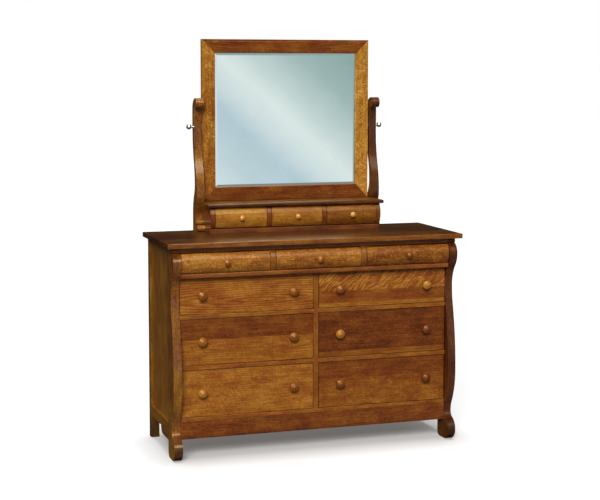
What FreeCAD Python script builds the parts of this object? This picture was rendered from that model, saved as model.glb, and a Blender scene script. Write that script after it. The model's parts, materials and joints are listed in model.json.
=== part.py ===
import FreeCAD, Part
import math
import os

# A dresser with sleigh-scroll front legs: nine drawers in the case, three small
# drawers in a deck on its top slab, and a bevelled mirror that tilts between two
# scroll posts. Lengths are in millimetres. X runs left to right, Y front to back
# and Z up; the drawers open towards -Y. The origin lies on the floor under the
# middle of the whole dresser.

# Driving sizes: every cell of the sheet is one of these plain numbers.
SIZES = {
    # Case, side to side and front to back
    "slab_width": 1575,
    "slab_depth": 586,
    "slab_thickness": 25,
    "slab_easing": 3,
    "side_overhang": 27.5,
    "rear_overhang": 3,
    "reveal": 2.5,
    "seat_gap": 0.3,
    # Case, from the floor upwards
    "apron_rise": 101,
    "apron_height": 92,
    "apron_thickness": 22,
    "apron_setback": 3,
    "bottom_rail_height": 18,
    "low_front_height": 236,
    "middle_front_height": 232,
    "high_front_height": 183,
    "rail_height": 21,
    "lip_rail_height": 24,
    "cushion_height": 98,
    "top_rail_height": 26,
    # Front faces, measured back from the slab's front edge
    "front_setback": 61,
    "front_thickness": 22,
    "mullion_width": 25,
    "lip_setback": 25,
    "lip_rounding": 6,
    "cushion_setback": 27,
    "cushion_bow": 19,
    "cushion_back": 45,
    "divider_width": 26,
    "divider_recess": 2,
    # Front legs: the turning points of their scrolled edge
    "leg_thickness": 42,
    "leg_depth": 138,
    "leg_front": 2,
    "foot_radius": 58,
    "heel_radius": 32,
    "ankle_setback": 64,
    "belly_setback": 10,
    "neck_setback": 65,
    "bulge_setback": 3,
    "bead_setback": 33,
    "bead_root": 42,
    # Rear posts, sides and back
    "rear_post": 44,
    "panel_recess": 10,
    "panel_thickness": 18,
    "side_rail_rise": 124,
    "side_rail_height": 52,
    "bracket_length": 168,
    "bracket_drop": 38,
    "back_thickness": 10,
    "crossbar_depth": 30,
    # Inside the case
    "partition_thickness": 18,
    "runner_height": 18,
    "runner_width": 42,
    "guide_height": 26,
    "guide_gap": 0.5,
    # Drawer boxes
    "box_inset": 4,
    "box_drop": 30,
    "box_wall": 13,
    "box_floor": 6,
    "box_floor_rise": 12,
    "floor_groove": 5,
    "box_rear_gap": 12,
    "deck_box_wall": 10,
    "deck_box_drop": 22,
    # Knobs
    "knob_radius": 24,
    "knob_length": 38,
    "knob_spacing": 480,
    "knob_lift": 4,
    "cushion_knob_radius": 16,
    "cushion_knob_length": 26,
    "deck_knob_radius": 14,
    "deck_knob_length": 23,
    # Deck on the slab
    "deck_width": 944,
    "deck_depth": 194,
    "deck_base_height": 26,
    "deck_front_height": 105,
    "deck_end_thickness": 22,
    "deck_divider_width": 22,
    "deck_back_thickness": 10,
    "deck_cushion_lead": 7,
    "deck_bow": 18,
    "deck_front_thickness": 15,
    "shelf_thickness": 19,
    "shelf_overhang": 28,
    "shelf_end_overhang": 15,
    "shelf_notch": 131,
    "shelf_rounding": 6,
    "base_rounding": 8,
    # Mirror posts, measured forwards from their back edge
    "post_thickness": 42,
    "post_neck": 34,
    "post_belly": 85,
    "post_belly_hollow": 42,
    "post_waist": 39,
    "post_base": 98,
    "base_roll_radius": 17,
    "base_bead_radius": 14,
    "base_bead_lead": 68,
    "waist_rise": 68,
    "belly_rise": 193,
    "neck_rise": 523,
    "post_heel_rise": 103,
    "hollow_rise": 253,
    "post_height": 702,
    "scroll_radius": 27,
    "scroll_lead": 59,
    # Mirror
    "mirror_rise": 2,
    "mirror_height": 854,
    "mirror_side_gap": 4,
    "mirror_member": 71,
    "mirror_thickness": 28,
    "mirror_lip": 11,
    "mirror_bead_width": 11,
    "mirror_bead_step": 3,
    "rebate_width": 10,
    "glass_thickness": 5,
    "glass_gap": 1,
    "glass_bevel": 22,
    "glass_bevel_depth": 2,
    "backing_thickness": 6,
    # Mirror pivots
    "pivot_rise": 394,
    "stud_radius": 4,
    "stud_play": 0.08,
    "stud_grip": 30,
    "stud_tip_gap": 2,
    "collar_radius": 9,
    "collar_length": 4,
    "collar_gap": 0.3,
    "pivot_neck_radius": 5,
    "ball_radius": 14,
    "ball_offset": 23,
}

# Shares, chosen by eye, of the sizes that each outline follows.
NECK_HEIGHT_SHARE = 0.770
BELLY_HEIGHT_SHARE = 0.345
ANKLE_HEIGHT_SHARE = 0.138
NECK_CURVE_SHARE = 0.386
BELLY_CURVE_SHARE = 0.236
ANKLE_CURVE_SHARE = 0.786
POST_WAIST_CURVE_SHARE = 0.38
POST_BELLY_CURVE_SHARE = 0.43
POST_HEEL_CURVE_SHARE = 0.56
POST_HOLLOW_CURVE_SHARE = 0.44
KNOB_STEM_SHARE = 0.42
KNOB_WAIST_SHARE = 0.34
KNOB_SHOULDER_SHARE = 0.62
KNOB_FACE_SHARE = 0.86
KNOB_SADDLE_SHARE = 0.36
# A dovetail's widths at its root and its tip, as shares of the tails' spacing.
TAIL_ROOT_SHARE = 0.56
TAIL_TIP_SHARE = 0.76
HALF = 0.5

# How many dovetails join each corner of a drawer box.
LARGE_BOX_TAILS = 3
SMALL_BOX_TAILS = 2

doc = FreeCAD.newDocument("dresser")
sheet = doc.addObject("Spreadsheet::Sheet", "Sizes")


class Length:
    """A length with the sheet formula that gives it, so objects can be bound to it."""

    def __init__(self, value, formula):
        self.value = value
        self.formula = formula

    def __add__(self, other):
        return Length(self.value + other.value, f"({self.formula} + {other.formula})")

    def __sub__(self, other):
        return Length(self.value - other.value, f"({self.formula} - {other.formula})")

    def __mul__(self, count):
        return Length(self.value * count, f"({self.formula} * {count})")

    def __truediv__(self, count):
        return Length(self.value / count, f"({self.formula} / {count})")

    def __neg__(self):
        return Length(-self.value, f"(-{self.formula})")

    def __float__(self):
        return float(self.value)


def fill_sheet():
    """Write the driving sizes to the sheet and return them as named lengths."""
    lengths = {}
    for row, (alias, value) in enumerate(SIZES.items(), start=1):
        sheet.set(f"A{row}", alias.replace("_", " "))
        sheet.set(f"B{row}", str(value))
        sheet.setAlias(f"B{row}", alias)
        lengths[alias] = Length(value, f"Sizes.{alias}")
    doc.recompute()
    return type("Lengths", (), lengths)


size = fill_sheet()
ZERO = Length(0.0, "0")
nodes = []


def bind(thing, prop, length):
    thing.setExpression(prop, length.formula)


def place(thing, x, y, z):
    bind(thing, ".Placement.Base.x", x)
    bind(thing, ".Placement.Base.y", y)
    bind(thing, ".Placement.Base.z", z)


def node(name, *pieces):
    """Name one piece, or a group of separate pieces, as a sub-part."""
    item = pieces[0]
    if len(pieces) > 1:
        item = doc.addObject("Part::Compound", name + "_group")
        item.Links = list(pieces)
    item.Label = name
    nodes.append(item)
    return item


class Outline:
    """A closed outline of lines and arcs, drawn point by point in one plane."""

    def __init__(self, across, up):
        self.start = self.here = self.point(across, up)
        self.edges = []

    @staticmethod
    def point(across, up):
        return FreeCAD.Vector(float(across), float(up), 0)

    def line(self, across, up):
        end = self.point(across, up)
        self.edges.append(Part.LineSegment(self.here, end))
        self.here = end
        return self

    def arc(self, middle, end):
        middle = self.point(*middle)
        end = self.point(*end)
        self.edges.append(Part.Arc(self.here, middle, end))
        self.here = end
        return self

    def upright_arc(self, across, up, upright_at_start):
        """An arc to the given point that runs straight up or down at one of its ends."""
        end = self.point(across, up)
        chord = end - self.here
        lean = math.atan2(abs(chord.x), abs(chord.y))
        sagitta = chord.Length / 2 * math.tan(lean / 2)
        side = FreeCAD.Vector(chord.y, -chord.x, 0).normalize()
        if (side.x * chord.x > 0) == upright_at_start:
            side = -side
        middle = (self.here + end) / 2 + side * sagitta
        return self.arc((middle.x, middle.y), (end.x, end.y))

    def swing(self, across, up, share):
        """Two arcs in an S between two turning points, the first with this share of it."""
        end = self.point(across, up)
        turn = self.here + (end - self.here) * share
        self.upright_arc(turn.x, turn.y, True)
        return self.upright_arc(end.x, end.y, False)

    def dome(self, up):
        """An arc to the turning axis that crosses it squarely, so the crown is a ball."""
        width = self.here.x
        rise = abs(up.value - self.here.y)
        radius = (width ** 2 + rise ** 2) / (2 * rise)
        turn = math.asin(width / radius) / 2
        crown = math.copysign(radius * (1 - math.cos(turn)), self.here.y - up.value)
        return self.arc((radius * math.sin(turn), up.value + crown), (0, up))

    def close(self):
        if (self.here - self.start).Length > 0:
            self.line(self.start.x, self.start.y)
        return self.edges


def rectangle(left, bottom, right, top):
    outline = Outline(left, bottom).line(right, bottom).line(right, top).line(left, top)
    return outline.close()


def plane_of(body, role):
    return next(item for item in body.Origin.OriginFeatures if item.Role == role)


def sketch_on(body, role, edges):
    sketch = body.newObject("Sketcher::SketchObject", body.Name + "_sketch")
    sketch.AttachmentSupport = [(plane_of(body, role), "")]
    sketch.MapMode = "FlatFace"
    for edge in edges:
        sketch.addGeometry(edge, False)
    return sketch


def pad(body, role, edges, length, onwards=True):
    """Pad an outline towards +X, +Y or +Z, or the other way where it isn't onwards."""
    feature = body.newObject("PartDesign::Pad", body.Name + "_pad")
    feature.Profile = sketch_on(body, role, edges)
    bind(feature, "Length", length)
    feature.Reversed = (role == "XZ_Plane") == onwards
    return feature


def prism(name, role, edges, length, x=ZERO, y=ZERO, z=ZERO):
    body = doc.addObject("PartDesign::Body", name)
    pad(body, role, edges, length)
    place(body, x, y, z)
    return body


def board(name, low, high):
    """A square-edged board between two opposite corners, each (x, y, z)."""
    box = doc.addObject("Part::Box", name)
    for prop, start, end in zip(("Length", "Width", "Height"), low, high):
        bind(box, prop, end - start)
    place(box, *low)
    return box


def rounded(body, radius, chosen):
    """Round the edges of a body's latest feature whose own boxes are the chosen ones."""
    doc.recompute()
    blank = body.Tip
    rounding = body.newObject("PartDesign::Fillet", body.Name + "_rounding")
    rounding.Base = (blank, [f"Edge{number}" for number, edge in enumerate(blank.Shape.Edges, 1)
                             if chosen(edge.BoundBox)])
    bind(rounding, "Radius", radius)
    return body


def cut_from(base, *tools):
    """Cut each tool out of a piece in turn."""
    for index, tool in enumerate(tools, start=1):
        cut = doc.addObject("Part::Cut", f"{base.Name}_cut_{index}")
        cut.Base = base
        cut.Tool = tool
        base = cut
    return base


def turned(name, edges, axis, x, y, z):
    """A turned piece: an outline in its XY plane, spun about that plane's axis."""
    body = doc.addObject("PartDesign::Body", name)
    sketch = sketch_on(body, "XY_Plane", edges)
    spin = body.newObject("PartDesign::Revolution", name + "_turning")
    spin.Profile = sketch
    spin.ReferenceAxis = (sketch, [axis])
    spin.Angle = 360
    place(body, x, y, z)
    return body


# Places that several pieces share, all worked out from the driving sizes

knob_reach = size.cushion_knob_length + size.cushion_bow - size.cushion_setback
slab_front = (knob_reach - size.slab_depth) / 2
slab_back = slab_front + size.slab_depth
case_back = slab_back - size.rear_overhang

case_half = size.slab_width / 2 - size.side_overhang
inner_half = case_half - size.leg_thickness
post_inner = case_half - size.rear_post
panel_outer = case_half - size.panel_recess
panel_inner = panel_outer - size.panel_thickness
leg_back = slab_front + size.leg_front + size.leg_depth
rear_front = case_back - size.rear_post
front_face = slab_front + size.front_setback
front_back = front_face + size.front_thickness

apron_top = size.apron_rise + size.apron_height
low_seat = apron_top + size.bottom_rail_height
low_top = low_seat + size.low_front_height + size.reveal * 2
middle_seat = low_top + size.rail_height
middle_top = middle_seat + size.middle_front_height + size.reveal * 2
high_seat = middle_top + size.rail_height
lip_bottom = high_seat + size.high_front_height + size.reveal * 2
cushion_seat = lip_bottom + size.lip_rail_height
cushion_top = cushion_seat + size.cushion_height + size.reveal * 2
slab_bottom = cushion_top + size.top_rail_height
slab_top = slab_bottom + size.slab_thickness


def top_slab():
    body = prism(
        "slab", "XY_Plane",
        rectangle(-size.slab_width / 2, slab_front, size.slab_width / 2, slab_back),
        size.slab_thickness, z=slab_bottom)
    node("top_slab", rounded(body, size.slab_easing,
                             lambda box: box.ZLength < box.DiagonalLength * HALF))


def leg_outline():
    """Side view of a front leg: bead, bulge, neck, belly, ankle and rolled foot."""
    height = float(slab_bottom)
    front = float(slab_front)
    bulge_height = (cushion_seat + cushion_top) / 2
    ankle = front + float(size.ankle_setback)
    ankle_height = ANKLE_HEIGHT_SHARE * height
    radius = float(size.foot_radius)
    roll = front + float(size.leg_front) + radius
    # The cove under the ankle is upright at its top and touches the foot's roll.
    across = ankle - roll
    drop = ankle_height - radius
    cove = (across ** 2 + drop ** 2 - radius ** 2) / (2 * (radius + across))
    touch = radius / (radius + cove)
    outline = Outline(leg_back, slab_bottom)
    outline.line(slab_front + size.bead_root, slab_bottom)
    outline.arc((slab_front + size.bead_setback, (slab_bottom + cushion_top) / 2),
                (slab_front + size.bead_root, cushion_top))
    outline.upright_arc(slab_front + size.bulge_setback, bulge_height, False)
    outline.swing(slab_front + size.neck_setback, NECK_HEIGHT_SHARE * height, NECK_CURVE_SHARE)
    outline.swing(slab_front + size.belly_setback, BELLY_HEIGHT_SHARE * height,
                  BELLY_CURVE_SHARE)
    outline.swing(ankle, ankle_height, ANKLE_CURVE_SHARE)
    outline.upright_arc(roll + (across - cove) * touch, radius + drop * touch, True)
    outline.arc((roll - radius, radius), (roll, 0))
    outline.line(leg_back - size.heel_radius, 0)
    corner = size.heel_radius * (1 - math.sqrt(HALF))
    outline.arc((leg_back - corner, corner), (leg_back, size.heel_radius))
    return outline.close()


def front_legs():
    for side, x in (("left", -case_half), ("right", inner_half)):
        name = f"front_leg_{side}"
        node(name, prism(name + "_body", "YZ_Plane", leg_outline(), size.leg_thickness, x=x))


def rear_posts():
    posts = []
    for side, x in (("left", -case_half), ("right", post_inner)):
        posts.append(board(f"rear_post_{side}", (x, rear_front, ZERO),
                           (x + size.rear_post, case_back, slab_bottom)))
    node("rear_posts", *posts)


def side_panels():
    panels = []
    bottom = size.side_rail_rise + size.side_rail_height
    for side, x in (("left", -panel_outer), ("right", panel_inner)):
        panels.append(board(f"side_panel_{side}", (x, leg_back, bottom),
                            (x + size.panel_thickness, rear_front, slab_bottom)))
    node("side_panels", *panels)


def side_rails():
    """The rail under each side panel drops in a rounded bracket behind the front leg."""
    top = size.side_rail_rise + size.side_rail_height
    bracket_end = leg_back + size.bracket_length
    bracket_foot = size.side_rail_rise - size.bracket_drop
    corner = size.bracket_drop * (1 - math.sqrt(HALF))
    rails = []
    for side, x in (("left", -case_half), ("right", panel_inner)):
        outline = Outline(leg_back, top).line(rear_front, top)
        outline.line(rear_front, size.side_rail_rise)
        outline.line(bracket_end, size.side_rail_rise)
        outline.arc((bracket_end - corner, bracket_foot + corner),
                    (bracket_end - size.bracket_drop, bracket_foot))
        outline.line(leg_back, bracket_foot)
        rails.append(prism(f"side_rail_{side}", "YZ_Plane", outline.close(),
                           case_half - panel_inner, x=x))
    node("side_rails", *rails)


def rounded_rail(name, front, bottom, top):
    """A rail across the whole front whose nose is rounded top and bottom."""
    radius = size.lip_rounding
    corner = radius * (1 - math.sqrt(HALF))
    outline = Outline(leg_back, bottom).line(front + radius, bottom)
    outline.arc((front + corner, bottom + corner), (front, bottom + radius))
    outline.line(front, top - radius)
    outline.arc((front + corner, top - corner), (front + radius, top))
    outline.line(leg_back, top)
    return prism(name, "YZ_Plane", outline.close(), inner_half * 2, x=-inner_half)


def front_rails():
    half_mullion = size.mullion_width / 2
    rails = [
        board("bottom_rail", (-inner_half, front_face, apron_top),
              (inner_half, leg_back, low_seat)),
        rounded_rail("lip_rail", slab_front + size.lip_setback, lip_bottom, cushion_seat),
        rounded_rail("top_rail", slab_front + size.bead_setback, cushion_top, slab_bottom),
    ]
    for level, bottom in (("low", low_top), ("high", middle_top)):
        top = bottom + size.rail_height
        rails.append(board(f"{level}_rail_left", (-inner_half, front_face, bottom),
                           (-half_mullion, leg_back, top)))
        rails.append(board(f"{level}_rail_right", (half_mullion, front_face, bottom),
                           (inner_half, leg_back, top)))
    node("front_rails", *rails)


def front_apron():
    front = front_face + size.apron_setback
    node("front_apron", board("apron", (-inner_half, front, size.apron_rise),
                              (inner_half, front + size.apron_thickness, apron_top)))


def bowed_outline(front, bow, back, bottom, top):
    """Side view of a cushion-fronted piece: an arc in front and square behind."""
    outline = Outline(back, bottom).line(front, bottom)
    outline.arc((front - bow, (bottom + top) / 2), (front, top))
    return outline.line(back, top).close()


def column_width(opening_half, divider):
    """Width of each of three equal fronts between two ends and two dividers."""
    return (opening_half * 2 - divider * 2 - size.reveal * 6) / 3


cushion_width = column_width(inner_half, size.divider_width)


def front_dividers():
    half_mullion = size.mullion_width / 2
    pieces = [board("mullion", (-half_mullion, front_face, low_seat),
                    (half_mullion, front_back, lip_bottom))]
    outline = bowed_outline(slab_front + size.cushion_setback + size.divider_recess,
                            size.cushion_bow, rear_front, cushion_seat, cushion_top)
    near = cushion_width / 2 + size.reveal
    for side, x in (("left", -near - size.divider_width), ("right", near)):
        pieces.append(prism(f"bowed_divider_{side}", "YZ_Plane", outline,
                            size.divider_width, x=x))
    node("front_dividers", *pieces)


def centre_partition():
    half = size.partition_thickness / 2
    node("centre_partition", board("partition", (-half, front_back, low_seat),
                                   (half, rear_front, lip_bottom)))


def runner(name, wall, reach, box_side, seat):
    """A ledge that the drawer slides on, with a guide on top that keeps it straight."""
    strips = []
    for strip, end, bottom, top in (("ledge", reach, seat - size.runner_height, seat),
                                    ("guide", box_side, seat, seat + size.guide_height)):
        left, right = sorted((wall, end), key=float)
        strips.append(board(f"{name}_{strip}", (left, leg_back, bottom),
                            (right, rear_front, top)))
    return strips


def drawer_runners():
    pieces = []
    centre = size.partition_thickness / 2
    box_inner = size.mullion_width / 2 + size.reveal + size.box_inset - size.guide_gap
    box_outer = inner_half - size.reveal - size.box_inset + size.guide_gap
    crossbar_back = rear_front + size.crossbar_depth
    for level, seat in (("low", low_seat), ("middle", middle_seat), ("high", high_seat)):
        places = (
            ("outer_left", -panel_inner, size.runner_width - panel_inner, -box_outer),
            ("inner_left", -centre, -centre - size.runner_width, -box_inner),
            ("inner_right", centre, centre + size.runner_width, box_inner),
            ("outer_right", panel_inner, panel_inner - size.runner_width, box_outer),
        )
        for place_name, wall, reach, box_side in places:
            pieces += runner(f"{level}_runner_{place_name}", wall, reach, box_side, seat)
    for level, seat in (("low", low_seat), ("middle", middle_seat), ("high", high_seat),
                        ("cushion", cushion_seat)):
        pieces.append(board(f"{level}_crossbar",
                            (-post_inner, rear_front, seat - size.runner_height),
                            (post_inner, crossbar_back, seat)))
    for side, x, end in (("left", -panel_inner, -box_outer),
                         ("right", box_outer, panel_inner)):
        pieces.append(board(f"cushion_guide_{side}", (x, leg_back, cushion_seat),
                            (end, rear_front, cushion_seat + size.guide_height)))
    node("drawer_runners", *pieces)


def dust_panel():
    node("dust_panel", board("dust_board",
                             (-panel_inner, leg_back, cushion_seat - size.runner_height),
                             (panel_inner, rear_front, cushion_seat)))


def back_panel():
    front = rear_front + size.crossbar_depth
    node("back_panel", board("back_board", (-post_inner, front, size.side_rail_rise),
                             (post_inner, front + size.back_thickness, slab_bottom)))


def dovetailed_side(name, x, low, high, wall, tails):
    """A drawer side with a row of tails at its front end, as deep as the wall it meets."""
    (y0, z0), (y1, z1) = low, high
    half_pitch = (z1 - z0) / (tails * 2)
    root_half = half_pitch * TAIL_ROOT_SHARE
    tip_half = half_pitch * TAIL_TIP_SHARE
    outline = Outline(y0 + wall, z0)
    for index in range(tails):
        middle = z0 + half_pitch * (index * 2 + 1)
        outline.line(y0 + wall, middle - root_half).line(y0, middle - tip_half)
        outline.line(y0, middle + tip_half).line(y0 + wall, middle + root_half)
    outline.line(y0 + wall, z1).line(y1, z1).line(y1, z0)
    return prism(name, "YZ_Plane", outline.close(), wall, x=x)


def drawer_box(name, low, high, wall, tails):
    """Sides dovetailed into the front, and a floor that slides into their grooves under
    a shorter back."""
    x0, y0, z0 = low
    x1, y1, z1 = high
    groove = wall - size.floor_groove
    bottom = z0 + size.box_floor_rise
    top = bottom + size.box_floor
    floor = board(f"{name}_floor", (x0 + groove, y0 + groove, bottom), (x1 - groove, y1, top))
    sides = [dovetailed_side(f"{name}_side_{side}", x, (y0, z0), (y1, z1), wall, tails)
             for side, x in (("left", x0), ("right", x1 - wall))]
    front = board(f"{name}_box_front", (x0, y0, z0), (x1, y0 + wall, z1))
    back = board(f"{name}_box_back", (x0 + wall, y1 - wall, top), (x1 - wall, y1, z1))
    node(name + "_box", *(cut_from(side, floor) for side in sides),
         cut_from(front, *sides, floor), back, floor)


def knob(name, radius, length, x, face, z):
    """A turned wooden knob: a waisted stem, a rounded shoulder and a shallow domed face."""
    stem = radius * KNOB_STEM_SHARE
    waist = radius * KNOB_WAIST_SHARE
    outline = Outline(0, 0).line(stem, 0)
    outline.arc((waist, -length * KNOB_SADDLE_SHARE * HALF),
                (stem, -length * KNOB_SADDLE_SHARE))
    outline.upright_arc(radius, -length * KNOB_SHOULDER_SHARE, False)
    outline.upright_arc(radius * KNOB_FACE_SHARE, -length * KNOB_FACE_SHARE, True)
    outline.dome(-length)
    return turned(name, outline.close(), "V_Axis", x, face, z)


def large_drawer(name, x0, x1, seat, height):
    z0 = seat + size.reveal
    blank = board(f"{name}_front_board", (x0, front_face, z0), (x1, front_back, z0 + height))
    node(name + "_front", blank)
    drawer_box(name, (x0 + size.box_inset, front_back, seat + size.seat_gap),
               (x1 - size.box_inset, rear_front - size.box_rear_gap,
                z0 + height - size.box_drop), size.box_wall, LARGE_BOX_TAILS)
    centre = (x0 + x1) / 2
    knob_height = z0 + height / 2 + size.knob_lift
    node(name + "_knobs",
         *(knob(f"{name}_knob_{side}", size.knob_radius, size.knob_length,
                centre + offset, front_face, knob_height)
           for side, offset in (("left", -size.knob_spacing / 2),
                                ("right", size.knob_spacing / 2))))


def large_drawers():
    near = size.mullion_width / 2 + size.reveal
    far = inner_half - size.reveal
    for level, seat, height in (("low", low_seat, size.low_front_height),
                                ("middle", middle_seat, size.middle_front_height),
                                ("high", high_seat, size.high_front_height)):
        large_drawer(f"{level}_drawer_left", -far, -near, seat, height)
        large_drawer(f"{level}_drawer_right", near, far, seat, height)


def bowed_drawer(name, x0, width, front, bow, back, seat, height, box_back, wall, drop,
                 knob_radius, knob_length):
    """A small drawer with a cushion front and one knob on its crest."""
    z0 = seat + size.reveal
    outline = bowed_outline(front, bow, back, z0, z0 + height)
    node(name + "_front", prism(f"{name}_front_board", "YZ_Plane", outline, width, x=x0))
    drawer_box(name, (x0 + size.box_inset, back, seat + size.seat_gap),
               (x0 + width - size.box_inset, box_back, z0 + height - drop), wall,
               SMALL_BOX_TAILS)
    node(name + "_knob", knob(f"{name}_turning", knob_radius, knob_length,
                              x0 + width / 2, front - bow, z0 + height / 2))


def cushion_drawers():
    step = cushion_width + size.divider_width + size.reveal * 2
    for column, name in enumerate(("left", "middle", "right")):
        bowed_drawer(f"cushion_drawer_{name}", step * (column - 1) - cushion_width / 2,
                     cushion_width, slab_front + size.cushion_setback, size.cushion_bow,
                     slab_front + size.cushion_back, cushion_seat, size.cushion_height,
                     rear_front - size.box_rear_gap, size.box_wall, size.box_drop,
                     size.cushion_knob_radius, size.cushion_knob_length)


# The deck stands on the slab, flush with the back of the case.

deck_half = size.deck_width / 2
deck_front = case_back - size.deck_depth
deck_seat = slab_top + size.deck_base_height
deck_top = deck_seat + size.deck_front_height + size.reveal * 2
shelf_top = deck_top + size.shelf_thickness
deck_inner = deck_half - size.deck_end_thickness
deck_edge = deck_front - size.deck_cushion_lead
deck_inside_back = case_back - size.deck_back_thickness
deck_drawer_width = column_width(deck_inner, size.deck_divider_width)


def deck_case():
    base = prism("deck_base_board", "XY_Plane",
                 rectangle(-deck_half, deck_front, deck_half, case_back),
                 size.deck_base_height, z=slab_top)
    node("deck_base", rounded(base, size.base_rounding,
                              lambda box: box.YMax < float(deck_front) + HALF
                              and box.ZMin > float(size.deck_base_height) * HALF))
    outline = bowed_outline(deck_edge + size.divider_recess, size.deck_bow,
                            deck_inside_back, deck_seat, deck_top)
    near = deck_drawer_width / 2 + size.reveal
    places = (("deck_end_left", -deck_half, size.deck_end_thickness),
              ("deck_divider_left", -near - size.deck_divider_width, size.deck_divider_width),
              ("deck_divider_right", near, size.deck_divider_width),
              ("deck_end_right", deck_inner, size.deck_end_thickness))
    node("deck_uprights", *(prism(name, "YZ_Plane", outline, width, x=x)
                            for name, x, width in places))
    node("deck_back", board("deck_back_board", (-deck_half, deck_inside_back, deck_seat),
                            (deck_half, case_back, deck_top)))


def deck_shelf():
    """The shelf overhangs the deck and is notched at the back to pass the mirror posts."""
    front = deck_front - size.shelf_overhang
    notch = case_back - size.shelf_notch
    wide = deck_half + size.shelf_end_overhang
    outline = Outline(-wide, front).line(wide, front).line(wide, notch)
    outline.line(deck_half, notch).line(deck_half, case_back)
    outline.line(-deck_half, case_back).line(-deck_half, notch).line(-wide, notch)
    shelf = prism("deck_shelf_board", "XY_Plane", outline.close(), size.shelf_thickness,
                  z=deck_top)
    node("deck_shelf", rounded(shelf, size.shelf_rounding,
                               lambda box: box.ZLength < box.DiagonalLength * HALF
                               and box.YMin < float(notch) - float(size.shelf_rounding)))


def deck_drawers():
    step = deck_drawer_width + size.deck_divider_width + size.reveal * 2
    back = deck_edge + size.deck_front_thickness
    for column, name in enumerate(("left", "middle", "right")):
        bowed_drawer(f"deck_drawer_{name}", step * (column - 1) - deck_drawer_width / 2,
                     deck_drawer_width, deck_edge, size.deck_bow, back, deck_seat,
                     size.deck_front_height, deck_inside_back - size.box_rear_gap,
                     size.deck_box_wall, size.deck_box_drop, size.deck_knob_radius,
                     size.deck_knob_length)


# The mirror posts stand on the slab against the ends of the deck.

pivot_depth = case_back - size.post_neck / 2
pivot_height = shelf_top + size.mirror_rise + size.pivot_rise
post_outer = deck_half + size.post_thickness


def post_outline():
    """Side view of a mirror post: rolled base, waist, belly, neck and top scroll."""
    back = float(case_back)
    base = float(slab_top)
    top = base + float(size.post_height)
    neck = back - float(size.post_neck)
    waist = back - float(size.post_waist)
    roll = float(size.base_roll_radius)
    roll_centre = back - float(size.post_base) + roll
    bead = float(size.base_bead_radius)
    bead_centre = back - float(size.base_bead_lead) + bead
    bead_seat = base + roll * 2
    scroll = float(size.scroll_radius)
    scroll_centre = back - float(size.scroll_lead)
    crease = math.sqrt(scroll ** 2 - (neck - scroll_centre) ** 2)
    crown = back - scroll_centre
    outline = Outline(back, base).line(roll_centre, base)
    outline.arc((roll_centre - roll, base + roll), (roll_centre, bead_seat))
    outline.line(bead_centre, bead_seat)
    outline.arc((bead_centre - bead, bead_seat + bead), (bead_centre, bead_seat + bead * 2))
    outline.line(waist, bead_seat + bead * 2)
    outline.line(waist, base + float(size.waist_rise))
    outline.swing(back - float(size.post_belly), base + float(size.belly_rise),
                  POST_WAIST_CURVE_SHARE)
    outline.swing(neck, base + float(size.neck_rise), POST_BELLY_CURVE_SHARE)
    outline.line(neck, top - scroll - crease)
    outline.arc((scroll_centre - scroll, top - scroll), (scroll_centre, top))
    corner = crown * (1 - math.sqrt(HALF))
    outline.arc((back - corner, top - corner), (back, top - crown))
    outline.line(back, base + float(size.neck_rise))
    outline.swing(back - float(size.post_belly_hollow), base + float(size.hollow_rise),
                  1 - POST_HOLLOW_CURVE_SHARE)
    outline.swing(back, base + float(size.post_heel_rise), 1 - POST_HEEL_CURVE_SHARE)
    return outline.close()


def mirror_posts():
    centre = Outline.point(pivot_depth, pivot_height)
    bore = Part.Circle(centre, FreeCAD.Vector(0, 0, 1), float(size.stud_radius + size.stud_play))
    for side, x in (("left", -post_outer), ("right", deck_half)):
        name = f"mirror_post_{side}"
        node(name, prism(name + "_body", "YZ_Plane", post_outline() + [bore],
                         size.post_thickness, x=x))


mirror_half = deck_half - size.mirror_side_gap
mirror_bottom = shelf_top + size.mirror_rise
mirror_top = mirror_bottom + size.mirror_height
mirror_front = pivot_depth - size.mirror_thickness / 2


def mitred(name, outer, inner):
    """One side of the mirror's frame, cut at 45 degrees: a rebate behind the glass's edge
    and a low bead round the outside."""
    def across(width):
        share = width.value / size.mirror_member.value
        return [tuple(start + (end - start) * share for start, end in zip(a, b))
                for a, b in zip(outer, inner)]

    def member(near, far):
        return Outline(*near[0]).line(*near[1]).line(*far[1]).line(*far[0]).close()
    rebate = across(size.mirror_member - size.rebate_width)
    step = size.mirror_bead_step
    body = prism(name, "XZ_Plane", member(outer, inner), size.mirror_lip - step,
                 y=mirror_front + step)
    pad(body, "XZ_Plane", member(outer, rebate), size.mirror_thickness - step)
    pad(body, "XZ_Plane", member(across(size.mirror_bead_width), inner), step, onwards=False)
    return body


def mirror_frame():
    width = size.mirror_member
    outer = ((-mirror_half, mirror_bottom), (mirror_half, mirror_bottom),
             (mirror_half, mirror_top), (-mirror_half, mirror_top))
    inner = ((width - mirror_half, mirror_bottom + width),
             (mirror_half - width, mirror_bottom + width),
             (mirror_half - width, mirror_top - width),
             (width - mirror_half, mirror_top - width))
    members = []
    for index, name in enumerate(("bottom", "right", "top", "left")):
        after = (index + 1) % len(outer)
        members.append(mitred(f"mirror_{name}", (outer[index], outer[after]),
                              (inner[index], inner[after])))
    bored = []
    grip = size.stud_grip + size.stud_tip_gap
    for member, start in ((members[1], mirror_half - grip), (members[3], -mirror_half)):
        drill = doc.addObject("Part::Cylinder", member.Name + "_drill")
        bind(drill, "Radius", size.stud_radius + size.stud_play)
        bind(drill, "Height", grip)
        drill.Placement.Rotation = FreeCAD.Rotation(FreeCAD.Vector(0, 1, 0), 90)
        place(drill, start, pivot_depth, pivot_height)
        bored.append(cut_from(member, drill))
    node("mirror_frame", members[0], bored[0], members[2], bored[1])


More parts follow.
